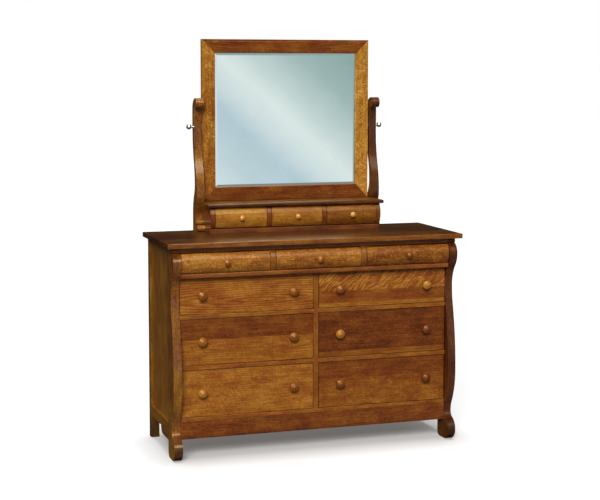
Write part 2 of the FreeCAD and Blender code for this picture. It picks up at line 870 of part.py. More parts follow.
def mirror_glass():
    """Plate glass with a wide ground bevel, which rests on the lip's inner edge."""
    rebate = size.mirror_member - size.rebate_width
    edge = rebate + size.glass_gap
    covered_share = float(size.rebate_width - size.glass_gap) / float(size.glass_bevel)
    front = mirror_front + size.mirror_lip - size.glass_bevel_depth * (1 - covered_share)
    sections = []
    for index, (inset, y) in enumerate((
            (ZERO, front + size.glass_thickness),
            (ZERO, front + size.glass_bevel_depth),
            (size.glass_bevel, front))):
        sketch = doc.addObject("Sketcher::SketchObject", f"glass_section_{index}")
        half = mirror_half - edge - inset
        for line in rectangle(-half, mirror_bottom + edge + inset,
                              half, mirror_top - edge - inset):
            sketch.addGeometry(line, False)
        sketch.Placement.Rotation = FreeCAD.Rotation(FreeCAD.Vector(1, 0, 0), 90)
        place(sketch, ZERO, y, ZERO)
        sections.append(sketch)
    glass = doc.addObject("Part::Loft", "bevelled_glass")
    glass.Sections = sections
    glass.Solid = True
    glass.Ruled = True
    node("mirror_glass", glass)
    back = front + size.glass_thickness
    node("mirror_backing", board("backing_board",
                                 (rebate - mirror_half, back, mirror_bottom + rebate),
                                 (mirror_half - rebate, back + size.backing_thickness,
                                  mirror_top - rebate)))


def pivot_knobs():
    """Each mirror clamp is one metal turning: stud, collar, neck and ball."""
    for side, sign in (("left", -1), ("right", 1)):
        start = mirror_half - size.stud_grip
        collar = post_outer + size.collar_gap
        ball = post_outer + size.ball_offset
        neck = size.pivot_neck_radius
        meet = math.sqrt(float(size.ball_radius) ** 2 - float(neck) ** 2)
        outline = Outline(start * sign, 0).line(start * sign, size.stud_radius)
        outline.line(collar * sign, size.stud_radius)
        outline.line(collar * sign, size.collar_radius)
        outline.line((collar + size.collar_length) * sign, size.collar_radius)
        outline.line((collar + size.collar_length) * sign, neck)
        outline.line(sign * (float(ball) - meet), neck)
        outline.arc((ball * sign, size.ball_radius), ((ball + size.ball_radius) * sign, 0))
        name = f"clamp_knob_{side}"
        node(name, turned(name + "_body", outline.close(), "H_Axis", ZERO,
                          pivot_depth, pivot_height))


def build():
    top_slab()
    front_legs()
    rear_posts()
    side_panels()
    side_rails()
    front_rails()
    front_apron()
    front_dividers()
    centre_partition()
    drawer_runners()
    dust_panel()
    back_panel()
    large_drawers()
    cushion_drawers()
    deck_case()
    deck_shelf()
    deck_drawers()
    mirror_posts()
    mirror_frame()
    mirror_glass()
    pivot_knobs()
    doc.recompute()


def check():
    for thing in doc.Objects:
        if "Invalid" in thing.State or "Error" in thing.State:
            raise RuntimeError(f"{thing.Name} failed: {thing.State}")
    for item in nodes:
        if item.Shape.isNull() or not item.Shape.isValid():
            raise RuntimeError(f"{item.Label} has no valid shape")


def write_parts():
    os.makedirs("parts", exist_ok=True)
    for item in nodes:
        item.Shape.exportStep(os.path.join("parts", item.Label + ".step"))
        box = item.Shape.BoundBox
        print(f"{item.Label}: {len(item.Shape.Solids)} solids, "
              f"{box.XLength:.1f} x {box.YLength:.1f} x {box.ZLength:.1f} mm")


build()
check()
write_parts()
print(len(nodes), "nodes")
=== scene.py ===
# %% [markdown]
# # A dresser with sleigh-scroll legs and a tilting mirror
#
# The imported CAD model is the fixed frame. Each wooden sub-part is made again here from
# the frame's own solids, one board at a time, so that every board gets worn edges and
# grain that runs along its length. Knobs and screws repeat, so Geometry Nodes makes them.

# %% Loading the frame
import bmesh
import bpy
import json
import math
import random
from mathutils import Euler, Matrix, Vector


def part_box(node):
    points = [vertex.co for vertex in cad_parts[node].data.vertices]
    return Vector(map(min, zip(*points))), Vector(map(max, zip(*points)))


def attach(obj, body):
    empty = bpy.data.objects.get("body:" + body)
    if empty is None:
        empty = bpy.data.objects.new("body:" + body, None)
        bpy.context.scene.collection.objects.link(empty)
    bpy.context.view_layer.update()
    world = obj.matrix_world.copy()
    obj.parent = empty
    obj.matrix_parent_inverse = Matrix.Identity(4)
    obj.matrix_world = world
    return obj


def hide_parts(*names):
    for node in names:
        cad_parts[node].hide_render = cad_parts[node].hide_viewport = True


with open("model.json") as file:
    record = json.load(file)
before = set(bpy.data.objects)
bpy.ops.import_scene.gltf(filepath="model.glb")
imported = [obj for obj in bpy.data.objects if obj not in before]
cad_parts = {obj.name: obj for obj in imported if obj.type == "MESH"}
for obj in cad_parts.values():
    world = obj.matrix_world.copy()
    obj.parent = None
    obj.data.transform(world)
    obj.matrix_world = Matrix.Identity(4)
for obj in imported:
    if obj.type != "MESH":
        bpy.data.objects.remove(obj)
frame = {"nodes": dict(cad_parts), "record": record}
NODES = frame["nodes"]
BODY_OF = {node: body for body, nodes in frame["record"]["behaviour"]["bodies"].items()
           for node in nodes}
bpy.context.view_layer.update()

# %% [markdown]
# ## Camera
#
# The photograph was taken from the left of the dresser, a little above its middle. The
# lens, place and tilt were found by fitting the dresser's corners to the photograph.

# %% Camera
LENS_MM = 85.13
SENSOR_MM = 36
LENS_SHIFT = (0.0303, -0.05)
FARTHEST_SEEN = 60
CAMERA_PLACE = (-2.347, -7.004, 1.933)
CAMERA_YAW = math.radians(17.692)
CAMERA_PITCH = math.radians(-5.936)

camera_data = bpy.data.cameras.new("camera")
camera_data.lens = LENS_MM
camera_data.sensor_width = SENSOR_MM
camera_data.shift_x, camera_data.shift_y = LENS_SHIFT
camera_data.clip_end = FARTHEST_SEEN
camera = bpy.data.objects.new("camera", camera_data)
camera.location = CAMERA_PLACE
camera.rotation_euler = Euler((math.pi / 2 + CAMERA_PITCH, 0, -CAMERA_YAW))
bpy.context.collection.objects.link(camera)
bpy.context.scene.camera = camera
bpy.context.scene.view_settings.view_transform = "Standard"
print(f"camera {Vector(CAMERA_PLACE).length:.2f} m from the origin, {LENS_MM} mm lens")

# %% [markdown]
# ## Three small helpers
#
# Colours are written as the sRGB hex values that a picture shows, and turned linear in
# one place. One function adds any shader or geometry node with its settings and links.

# %% Helpers
def linear(colour):
    """The linear RGBA values of an sRGB hex colour."""
    shares = [int(colour[place:place + 2], 16) / 255 for place in (0, 2, 4)]
    return [share / 12.92 if share <= 0.04045 else ((share + 0.055) / 1.055) ** 2.4
            for share in shares] + [1.0]


def add_node(tree, kind, settings=None):
    """Add a node. A setting names an attribute or an input. A socket given is linked, and
    so is the first output of a node given."""
    item = tree.nodes.new(kind)
    for name, value in (settings or {}).items():
        if isinstance(value, bpy.types.Node):
            value = value.outputs[0]
        if isinstance(value, bpy.types.NodeSocket):
            tree.links.new(value, item.inputs[name])
        elif isinstance(name, str) and hasattr(item, name):
            setattr(item, name, value)
        else:
            item.inputs[name].default_value = value
    return item


def new_material(name):
    """An empty material and its tree."""
    material = bpy.data.materials.new(name)
    material.use_nodes = True
    material.node_tree.nodes.clear()
    return material, material.node_tree


print("middle grey 808080 in linear:", round(linear("808080")[0], 3))

# %% [markdown]
# ## Boards out of the frame
#
# A sub-part's mesh holds one closed skin after another. Walking its faces in order and
# pairing each edge with its opposite finds where one solid ends and the next begins. That
# needs no list of boards here, so a change to the model carries through by itself.

# %% Splitting a sub-part into its boards
def solids_of(node):
    """The closed skins of a sub-part, each a list of faces, each face a list of corners."""
    mesh = NODES[node].data
    spots = [tuple(round(value, 6) for value in vertex.co) for vertex in mesh.vertices]
    solids, faces, open_edges = [], [], set()
    for polygon in mesh.polygons:
        corners = [spots[index] for index in polygon.vertices]
        faces.append(corners)
        for start, end in zip(corners, corners[1:] + corners[:1]):
            if start == end:
                continue
            if (end, start) in open_edges:
                open_edges.remove((end, start))
            else:
                open_edges.add((start, end))
        if not open_edges:
            solids.append(faces)
            faces = []
    return solids


for node in ("front_rails", "mirror_frame"):
    middles = [[round(sum(spot[axis] for corners in skin for spot in corners)
                      / sum(len(corners) for corners in skin), 2) for axis in (0, 2)]
               for skin in solids_of(node)]
    print(node, "boards, with their middles' X and Z:", middles)

# %% [markdown]
# ## Worn edges and staves
#
# Each board is joined up, its flat faces are merged, and its sharp edges get a small
# rounding, as sandpaper and handling leave them. The rounding's faces are marked,
# because lacquer wears thin there. A wide board is glued up from staves, each cut
# from another plank, so it is scored where two staves meet.

# %% Making a board
SHARP_EDGE = math.radians(25)
SMOOTH_BELOW = math.radians(20)
FLAT_BELOW = math.radians(0.4)
EDGE_RADIUS = 0.0012


def board_mesh(faces, edge_radius):
    """One board's faces, joined, merged where flat, and eased along its sharp edges."""
    board = bmesh.new()
    worn = board.faces.layers.int.new("worn")
    vertex_at = {spot: board.verts.new(spot) for spot in sorted(set(sum(faces, [])))}
    for corners in faces:
        if len(set(corners)) == len(corners):
            board.faces.new([vertex_at[spot] for spot in corners])
    bmesh.ops.dissolve_limit(board, angle_limit=FLAT_BELOW, verts=board.verts[:],
                             edges=board.edges[:])
    sharp = [edge for edge in board.edges
             if edge.is_manifold and edge.calc_face_angle() > SHARP_EDGE]
    if edge_radius and sharp:
        eased = bmesh.ops.bevel(board, geom=sharp, offset=edge_radius, offset_type="OFFSET",
                                segments=2, profile=0.5, affect="EDGES", clamp_overlap=True)
        for face in eased["faces"]:
            face[worn] = 1
    return board


def cut_staves(board, axis, low, high, shares):
    """Score the board across an axis where one stave is glued to the next."""
    normal = Vector((0, 0, 0))
    normal[axis] = 1
    for share in shares:
        place = Vector((0, 0, 0))
        place[axis] = low + (high - low) * share
        bmesh.ops.bisect_plane(board, geom=board.verts[:] + board.edges[:] + board.faces[:],
                               plane_co=place, plane_no=normal)


sample = board_mesh(solids_of("deck_base")[0], EDGE_RADIUS)
print("faces on the deck's base board:", len(sample.faces))
sample.free()

# %% [markdown]
# ## What the wood materials read
#
# Four attributes go onto every board. "grain" holds the place along, across and through
# the board in metres, from a start of its own, so no two boards share a pattern. "colour"
# holds tone, hue and wear, where wear under 0 is painted shade on the eased edges, and
# "figure" holds ray fleck, flame and cathedral figure.
# "flat_side" marks the two widest faces, such as the sawn sides of a scrolled leg. With
# them one material serves every board, and a board's look is a row of numbers.

# %% Wooden pieces
# How much a ring's arch is drawn out along the board, how squarely a face must look
# through the board to be a flat side, and how far boards that share a look vary in tone.
ARCH_STRETCH = 0.085
FACES_SIDEWAYS = 0.9
TONE_DRIFT = 0.03


def wooden_piece(node, boards, edge_radius=EDGE_RADIUS, edge_wear_or_shade=1.0):
    """Make a sub-part again as boards with grain. Each entry of boards is one board's
    staves, taken in turn: (share of the board's width up to which the stave reaches,
    tone, hue, fleck, flame, cathedral). Edge wear under 0 darkens the eased edges as
    painted shade in place of wear."""
    chance = random.Random(node)
    corners, faces, grain, colour, figure, flat_side = [], [], [], [], [], []
    box_low, box_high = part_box(node)
    for index, skin in enumerate(solids_of(node)):
        looks = boards[index % len(boards)]
        board = board_mesh(skin, edge_radius)
        lows = [min(vertex.co[axis] for vertex in board.verts) for axis in range(3)]
        highs = [max(vertex.co[axis] for vertex in board.verts) for axis in range(3)]
        through, across, along = sorted(range(3), key=lambda axis: highs[axis] - lows[axis])
        width = highs[across] - lows[across]
        cut_staves(board, across, lows[across], highs[across], [row[0] for row in looks[:-1]])
        worn = board.faces.layers.int["worn"]
        # Cathedral arches close round half numbers, so these starts put one in each stave.
        length = highs[along] - lows[along]
        starts = [[(chance.randint(0, 2) + 0.5) / ARCH_STRETCH - length * chance.uniform(0.2, 0.8),
                   chance.randint(2, 8) + chance.uniform(0.45, 0.55), chance.uniform(2, 9)]
                  for _ in looks]
        drift = chance.uniform(-TONE_DRIFT, TONE_DRIFT) if len(boards) == 1 else 0
        board.verts.index_update()
        first = len(corners)
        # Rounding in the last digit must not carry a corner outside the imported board.
        for vertex in board.verts:
            vertex.co = [min(max(place, floor_at), ceiling_at) for place, floor_at, ceiling_at
                         in zip(vertex.co, box_low, box_high)]
        corners += [vertex.co.copy() for vertex in board.verts]
        board.normal_update()
        for face in board.faces:
            share = (face.calc_center_median()[across] - lows[across]) / width
            row = next((i for i, look in enumerate(looks) if share < look[0]), len(looks) - 1)
            faces.append([first + vertex.index for vertex in face.verts])
            colour += [looks[row][1] + drift, looks[row][2], face[worn] * edge_wear_or_shade]
            figure += looks[row][3:]
            flat_side.append(float(abs(face.normal[through]) > FACES_SIDEWAYS))
            for vertex in face.verts:
                place = vertex.co
                grain += [place[along] - lows[along] + starts[row][0],
                          place[across] - (lows[across] + highs[across]) / 2 + starts[row][1],
                          place[through] - lows[through] + starts[row][2]]
        board.free()
    mesh = bpy.data.meshes.new(node + "_wood")
    mesh.from_pydata(corners, [], faces)
    for name, domain, values in (("grain", "CORNER", grain), ("colour", "FACE", colour),
                                 ("figure", "FACE", figure)):
        mesh.attributes.new(name, "FLOAT_VECTOR", domain).data.foreach_set("vector", values)
    mesh.attributes.new("flat_side", "FLOAT", "FACE").data.foreach_set("value", flat_side)
    mesh.shade_smooth()
    mesh.set_sharp_from_angle(angle=SMOOTH_BELOW)
    piece = bpy.data.objects.new(node + "_wood", mesh)
    bpy.context.collection.objects.link(piece)
    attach(piece, BODY_OF[node])
    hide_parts(node)
    return piece


print("numbers for each stave: share, tone, hue, fleck, flame, cathedral")

# %% [markdown]
# ## Figure in quartersawn oak
#
# The tree reads "grain" in metres, so each size below is a real one. Streaks are noise
# drawn out along the board. Quartersawn boards show ray fleck, pale ribbons that lie
# across the streaks, and where the plank was cut just off the rays they grow into wavy
# flames. Plainsawn boards show nested cathedral arches: rings cut at a slant.

# %% Streaks, flecks and arches
def streaks(tree, place, length_mm, width_mm, detail, low=0.34, high=0.66):
    """Noise in streaks of about this length and width, its range low to high made 0 to 1."""
    across = 1000 / width_mm
    scaled = add_node(tree, "ShaderNodeVectorMath", {
        "operation": "MULTIPLY", 0: place, 1: (1000 / length_mm, across, across)})
    noise = add_node(tree, "ShaderNodeTexNoise", {
        "Scale": 1.0, "Detail": detail, "Roughness": 0.55, "Vector": scaled})
    return add_node(tree, "ShaderNodeMapRange", {
        "interpolation_type": "SMOOTHSTEP", "Value": noise.outputs["Fac"],
        "From Min": low, "From Max": high})


def ray_fleck(tree, grain, length_mm, width_mm, patch_mm, degrees):
    """Pale ribbons at an angle off the grain, bent a little, in patches of this length."""
    sway = add_node(tree, "ShaderNodeTexNoise", {"Scale": 14.0, "Detail": 1.0, "Vector": grain})
    swayed = add_node(tree, "ShaderNodeVectorMath", {
        "operation": "MULTIPLY_ADD", 0: sway.outputs["Color"], 1: (0.05, 0.05, 0.0), 2: grain})
    turned = add_node(tree, "ShaderNodeVectorRotate", {
        "rotation_type": "Z_AXIS", "Angle": math.radians(degrees), "Vector": swayed})
    ribbons = streaks(tree, turned, length_mm, width_mm, 1.0, low=0.46, high=0.60)
    patches = streaks(tree, grain, patch_mm, patch_mm * 0.4, 1.0, low=0.28, high=0.48)
    return add_node(tree, "ShaderNodeMath", {
        "operation": "MULTIPLY", 0: ribbons, 1: patches})


RING_MM = 11


def cathedral_arches(tree, bent):
    """Growth rings round an axis under the board, from -1 to 1 over a ring's width."""
    place = add_node(tree, "ShaderNodeVectorMath", {
        "operation": "MULTIPLY", 0: bent, 1: (ARCH_STRETCH, 1.0, 0.0)})
    place = add_node(tree, "ShaderNodeVectorMath", {"operation": "FRACTION", 0: place})
    place = add_node(tree, "ShaderNodeVectorMath", {
        "operation": "SUBTRACT", 0: place, 1: (0.5, 0.5, 0.0)})
    radius = add_node(tree, "ShaderNodeVectorMath", {"operation": "LENGTH", 0: place})
    rings = add_node(tree, "ShaderNodeMath", {
        "operation": "MULTIPLY", 0: radius.outputs["Value"], 1: 1000 / RING_MM})
    rings = add_node(tree, "ShaderNodeMath", {
        "operation": "PINGPONG", 0: rings, 1: 0.5})
    return add_node(tree, "ShaderNodeMapRange", {
        "interpolation_type": "SMOOTHSTEP", "Value": rings, "From Min": 0.05,
        "From Max": 0.5, "To Min": -1.0, "To Max": 1.0})


print("one growth ring is", RING_MM, "mm wide")

# %% [markdown]
# ## Stain and satin lacquer
#
# The oak is taken to be stained, then lacquered. Two ramps give the stain's colour at each
# tone: red-brown where the wood took much of it, olive gold where little. A board's hue
# blends between them, and blotches as wide as a hand shift it, because stain never takes
# evenly. On top lies a thin gloss coat, duller on worn edges' pale wood.

# %% Stain
RED_STOPS = ("1e0a04", "431b08", "6b3412", "8a4a1a", "a8662a", "c48a4c")
GOLD_STOPS = ("1a1003", "3c2408", "63400f", "8d5e1a", "b07c2c", "cd9f50")


def set_stops(ramp, stops):
    """Put colours on a ramp, each at its place from 0 to 1."""
    elements = ramp.color_ramp.elements
    for index, (place, colour) in enumerate(stops):
        stop = elements[index] if index < 2 else elements.new(place)
        stop.position = place
        stop.color = linear(colour)


def stain_colour(tree, level, stops):
    """The stain's colour at a tone, from evenly spaced stops."""
    ramp = add_node(tree, "ShaderNodeValToRGB", {"Fac": level})
    ramp.color_ramp.interpolation = "B_SPLINE"
    set_stops(ramp, [(index / (len(stops) - 1), stop) for index, stop in enumerate(stops)])
    return ramp.outputs["Color"]


# What each mark adds to the tone at its strongest. Half of the streaks' share is taken
# off beforehand, so they leave a board's own tone as it is on average.
STREAK_WEIGHTS = (0.09, 0.07, 0.04, 0.14)
FLECK_WEIGHT, FLAME_WEIGHT, ARCH_WEIGHT = 0.22, 0.24, 0.12
# Worn edges pale; where a board's edge wear is under 0, the same weight lays painted shade on its
# edges.
PORE_WEIGHT, WEAR_AND_SHADE_WEIGHT, FLOOR_SHADE_WEIGHT = -0.18, 0.12, -0.22
# What blotches and flames add to the hue, fine streaks to the relief of the pores, and
# blotches and worn edges to the roughness.
BLOTCH_HUE, FLAME_HUE, FINE_RELIEF = 0.3, 0.5, -0.3
BLOTCH_ROUGH_LOW, BLOTCH_ROUGH_HIGH, WEAR_ROUGH = -0.05, 0.07, 0.10
print("streak weights:", STREAK_WEIGHTS)


# %% Oak
# Heights in metres between which the painted shade near the floor and the painted light on
# the legs' paler sides fade in, and what that light adds to tone and hue at the floor.
FLOOR_SHADE_FROM, FLOOR_SHADE_FULL = 0.14, 0.07
SIDE_LIGHT_FROM, SIDE_LIGHT_FULL = 0.40, 0.12
SIDE_PAINTED_LIGHT, SIDE_PAINTED_LIGHT_HUE = 0.12, 0.6


def stained_oak(name, roughness, coat, painted_side_light=0):
    """Oak under stain and lacquer, with its middle roughness and its coat's weight. With
    painted side light, its flat sides get painted light from the floor: paler and more olive
    towards the floor."""
    material, tree = new_material(name)
    grain = add_node(tree, "ShaderNodeAttribute", {"attribute_name": "grain"}).outputs["Vector"]
    (tone, hue, wear), (fleck_share, flame_share, arch_share) = [
        add_node(tree, "ShaderNodeSeparateXYZ", {0: add_node(
            tree, "ShaderNodeAttribute", {"attribute_name": title}).outputs["Vector"]}).outputs
        for title in ("colour", "figure")]

    bend = add_node(tree, "ShaderNodeTexNoise", {"Scale": 1.6, "Detail": 1.0, "Vector": grain})
    bent = add_node(tree, "ShaderNodeVectorMath", {
        "operation": "MULTIPLY_ADD", 0: bend.outputs["Color"], 1: (0.0, 0.02, 0.02),
        2: grain})
    pores = streaks(tree, bent, 25, 1.7, 1.0, low=0.54, high=0.66)
    fine = streaks(tree, bent, 110, 4.2, 3.0)
    blotch = streaks(tree, grain, 110, 60, 3.0, low=0.25, high=0.75)
    marks = (fine, streaks(tree, bent, 200, 10.5, 2.0), streaks(tree, bent, 450, 22, 2.0), blotch)

    level = add_node(tree, "ShaderNodeMath", {
        "operation": "SUBTRACT", 0: tone, 1: sum(STREAK_WEIGHTS) / 2})
    # The photograph's wood is darker near the floor, which is drawn as painted shade.
    height = add_node(tree, "ShaderNodeSeparateXYZ", {
        0: add_node(tree, "ShaderNodeTexCoord").outputs["Object"]}).outputs["Z"]
    painted_floor_shade = add_node(tree, "ShaderNodeMapRange", {
        "interpolation_type": "SMOOTHSTEP", "Value": height, "From Min": FLOOR_SHADE_FROM,
        "From Max": FLOOR_SHADE_FULL})
    parts = list(zip(marks, STREAK_WEIGHTS)) + [(pores, PORE_WEIGHT), (wear, WEAR_AND_SHADE_WEIGHT)]
    if painted_side_light:
        # The photograph's legs pale downwards on their sawn sides, which get painted light from
        # the floor there in place of the painted shade.
        flat = add_node(tree, "ShaderNodeAttribute", {"attribute_name": "flat_side"})
        low = add_node(tree, "ShaderNodeMapRange", {
            "interpolation_type": "SMOOTHSTEP", "Value": height, "From Min": SIDE_LIGHT_FROM,
            "From Max": SIDE_LIGHT_FULL})
        painted_side_light_share = add_node(tree, "ShaderNodeMath", {
            "operation": "MULTIPLY", 0: low, 1: flat.outputs["Fac"]})
        front = add_node(tree, "ShaderNodeMath", {
            "operation": "SUBTRACT", 0: 1.0, 1: flat.outputs["Fac"]})
        painted_floor_shade = add_node(tree, "ShaderNodeMath", {
            "operation": "MULTIPLY", 0: painted_floor_shade, 1: front})
        hue = add_node(tree, "ShaderNodeMath", {
            "operation": "MULTIPLY_ADD", 0: painted_side_light_share, 1: SIDE_PAINTED_LIGHT_HUE, 2: hue})
        parts.append((painted_side_light_share, painted_side_light))
    parts.append((painted_floor_shade, FLOOR_SHADE_WEIGHT))
    # Each figure shows as strongly as the stave's own number says.
    flecks = []
    for mark, share, weight in (
            (ray_fleck(tree, grain, length_mm=22, width_mm=4.5, patch_mm=60, degrees=62),
             fleck_share, FLECK_WEIGHT),
            (ray_fleck(tree, grain, length_mm=75, width_mm=7, patch_mm=130, degrees=-38),
             flame_share, FLAME_WEIGHT),
            (cathedral_arches(tree, bent), arch_share, ARCH_WEIGHT)):
        mark = add_node(tree, "ShaderNodeMath", {"operation": "MULTIPLY", 0: mark, 1: share})
        flecks.append(mark)
        parts.append((mark, weight))
    for mark, weight in parts:
        level = add_node(tree, "ShaderNodeMath", {
            "operation": "MULTIPLY_ADD", 0: mark, 1: weight, 2: level})

    blotch_shift = add_node(tree, "ShaderNodeMapRange", {
        "Value": blotch, "To Min": -BLOTCH_HUE, "To Max": BLOTCH_HUE})
    hue = add_node(tree, "ShaderNodeMath", {
        "operation": "ADD", 0: hue, 1: blotch_shift})
    # Rays take less of the red stain, so flames are yellower than the wood round them.
    hue = add_node(tree, "ShaderNodeMath", {
        "operation": "MULTIPLY_ADD", "use_clamp": True, 0: flecks[1], 1: FLAME_HUE,
        2: hue})
    stain = add_node(tree, "ShaderNodeMix", {
        "data_type": "RGBA", 0: hue, 6: stain_colour(tree, level, RED_STOPS),
        7: stain_colour(tree, level, GOLD_STOPS)})

    height = add_node(tree, "ShaderNodeMath", {
        "operation": "MULTIPLY_ADD", 0: fine, 1: FINE_RELIEF, 2: pores})
    bump = add_node(tree, "ShaderNodeBump", {
        "Strength": 0.25, "Distance": 0.0004, "invert": True, "Height": height})
    dull = add_node(tree, "ShaderNodeMapRange", {
        "Value": blotch, "To Min": roughness + BLOTCH_ROUGH_LOW,
        "To Max": roughness + BLOTCH_ROUGH_HIGH})
    edge = add_node(tree, "ShaderNodeMath", {"operation": "ABSOLUTE", 0: wear})
    gloss = add_node(tree, "ShaderNodeMath", {
        "operation": "MULTIPLY_ADD", 0: edge, 1: WEAR_ROUGH,
        2: dull})
    shader = add_node(tree, "ShaderNodeBsdfPrincipled", {
        "Specular IOR Level": 0.36, "Specular Tint": linear("e6b878"), "Coat Weight": coat,
        "Coat Roughness": 0.13, "Base Color": stain.outputs[2], "Roughness": gloss,
        "Normal": bump.outputs["Normal"]})
    add_node(tree, "ShaderNodeOutputMaterial", {"Surface": shader})
    return material


# The photograph shows how much each piece shines, and not what it is finished with, so
# each finish is a guess. The carcase gets a sprayed satin lacquer with some gloss.
CARCASE_OAK = stained_oak("oak_stained_lacquer_sprayed", roughness=0.34, coat=0.35)
# The drawer fronts shine a little less, as rubbed lacquer does.
FRONT_OAK = stained_oak("oak_quartersawn_lacquer_rubbed", roughness=0.38, coat=0.26)
# The scrolled legs and posts shine most, so their lacquer is polished.
SCROLL_OAK = stained_oak("oak_bandsawn_lacquer_polished", roughness=0.34, coat=0.55,
                         painted_side_light=SIDE_PAINTED_LIGHT)
# The mirror's frame hardly shines, so its lacquer is thin.
FRAME_OAK = stained_oak("oak_mitred_lacquer_thin", roughness=0.42, coat=0.06)
print("nodes in each oak:", len(CARCASE_OAK.node_tree.nodes))

# %% [markdown]
# ## Hidden woods
#
# The photograph shows no drawer side, runner or back. They are taken to be unstained
# planed poplar, sealed with one thin coat, and darker on the backs than on the drawers'
# boxes. Of the attributes they read "grain" alone, with fewer marks and no fleck.

# %% Poplar
def sealed_poplar(name, dark, pale):
    """Planed poplar between a dark and a pale colour."""
    material, tree = new_material(name)
    grain = add_node(tree, "ShaderNodeAttribute", {"attribute_name": "grain"}).outputs["Vector"]
    fine = streaks(tree, grain, 250, 5.5, 3.0)
    broad = streaks(tree, grain, 600, 28, 2.0)
    level = add_node(tree, "ShaderNodeMix", {0: 0.6, 2: fine, 3: broad})
    colour = add_node(tree, "ShaderNodeMix", {
        "data_type": "RGBA", 0: level, 6: linear(dark), 7: linear(pale)})
    bump = add_node(tree, "ShaderNodeBump", {"Strength": 0.2, "Distance": 0.0003, "Height": fine})
    shader = add_node(tree, "ShaderNodeBsdfPrincipled", {
        "Roughness": 0.6, "Specular IOR Level": 0.3, "Base Color": colour.outputs[2],
        "Normal": bump.outputs["Normal"]})
    add_node(tree, "ShaderNodeOutputMaterial", {"Surface": shader})
    return material


BOX_POPLAR = sealed_poplar("poplar_planed_sealed", "8e6c42", "c29f6c")
BACK_POPLAR = sealed_poplar("poplar_back_sealed", "6b4c2c", "94703f")
print("poplar:", BOX_POPLAR.name, "and", BACK_POPLAR.name)

# %% [markdown]
# ## Which board looks how
#
# The photograph shows another tone on nearly every front, and two or three on some, drawn
# as glued staves. Each row below is one stave: how far up it reaches as a share of the
# board's width, then tone from 0, dark, to 1, pale, and hue from 0, red-brown, to 1,
# olive gold, then the shares of fleck, flame and cathedral figure.

# %% Looks of the case
# Under 0, edge wear darkens the eased edges with painted shade: the shadow in the recesses round
# the side panels and in the gaps round the drawer fronts.
PANEL_EDGE_SHADE, FRONT_EDGE_SHADE = -2.0, -3.0
CARCASE_LOOKS = {
    # The slab's front edge is lipped with a strip of redder wood.
    "top_slab": [((0.02, 0.46, 0.4, 0.2, 0, 0.1), (0.34, 0.23, 0.7, 0.2, 0, 0.3),
                  (0.68, 0.11, 0.2, 0.2, 0, 0.3), (1, 0.19, 0.8, 0.2, 0, 0.4))],
    "front_leg_left": [((1, 0.36, 0.5, 0.8, 0.3, 0.1),)],
    "front_leg_right": [((1, 0.16, 0.0, 0.6, 0.1, 0.1),)],
    "rear_posts": [((1, 0.47, 1.0, 0.2, 0, 0.1),)],
    "side_panels": [((0.5, 0.55, 0.9, 0.2, 0, 0.3), (1, 0.52, 0.9, 0.2, 0, 0.3))],
    "side_rails": [((1, 0.49, 1.0, 0.1, 0, 0.2),)],
    # Bottom rail, lip rail and top rail, then the four short rails, as printed above.
    "front_rails": [((1, 0.53, 0.3, 0.4, 0, 0.1),), ((1, 0.46, 0.2, 0.5, 0, 0.2),),
                    ((1, 0.40, 0.0, 0.2, 0, 0.1),)] + [((1, 0.53, 0.3, 0.4, 0, 0.1),)] * 4,
    "front_apron": [((1, 0.41, 0.1, 0.4, 0, 0.2),)],
    "front_dividers": [((1, 0.52, 0.3, 0.3, 0, 0.1),)],
    "deck_base": [((1, 0.33, 0.1, 0.3, 0, 0.1),)],
    "deck_uprights": [((1, 0.40, 0.2, 0.3, 0, 0.1),)],
    # The shelf's nose is a redder strip too, and its top is more olive: a painted reflection
    # of the light grazing it.
    "deck_shelf": [((0.09, 0.16, 0.0, 0.2, 0, 0.1), (1, 0.34, 1.0, 0.4, 0, 0.2))],
    "mirror_post_left": [((1, 0.41, 0.6, 1.0, 0.3, 0.1),)],
    "mirror_post_right": [((1, 0.15, 0.0, 0.6, 0.2, 0.1),)],
    # Bottom rail, right stile, top rail and left stile, as printed above.
    "mirror_frame": [((1, 0.36, 0.1, 0.4, 0, 0.2),), ((1, 0.67, 0.8, 1.0, 0.5, 0),),
                     ((1, 0.39, 0.1, 0.4, 0, 0.3),), ((1, 0.53, 0.5, 1.0, 0.4, 0),)],
}
for node, boards in CARCASE_LOOKS.items():
    oak = FRAME_OAK if node == "mirror_frame" else CARCASE_OAK
    oak = SCROLL_OAK if "leg" in node or "mirror_post" in node else oak
    # The photograph's line between side panel and rail is dark. These edges are darkened
    # for it with painted shade in place of wear, and the line still comes out pale.
    edge_wear_or_shade = PANEL_EDGE_SHADE if node.startswith("side_") else 1.0
    wooden_piece(node, boards, edge_wear_or_shade=edge_wear_or_shade).data.materials.append(oak)
print(len(CARCASE_LOOKS), "pieces of the case, deck and mirror")

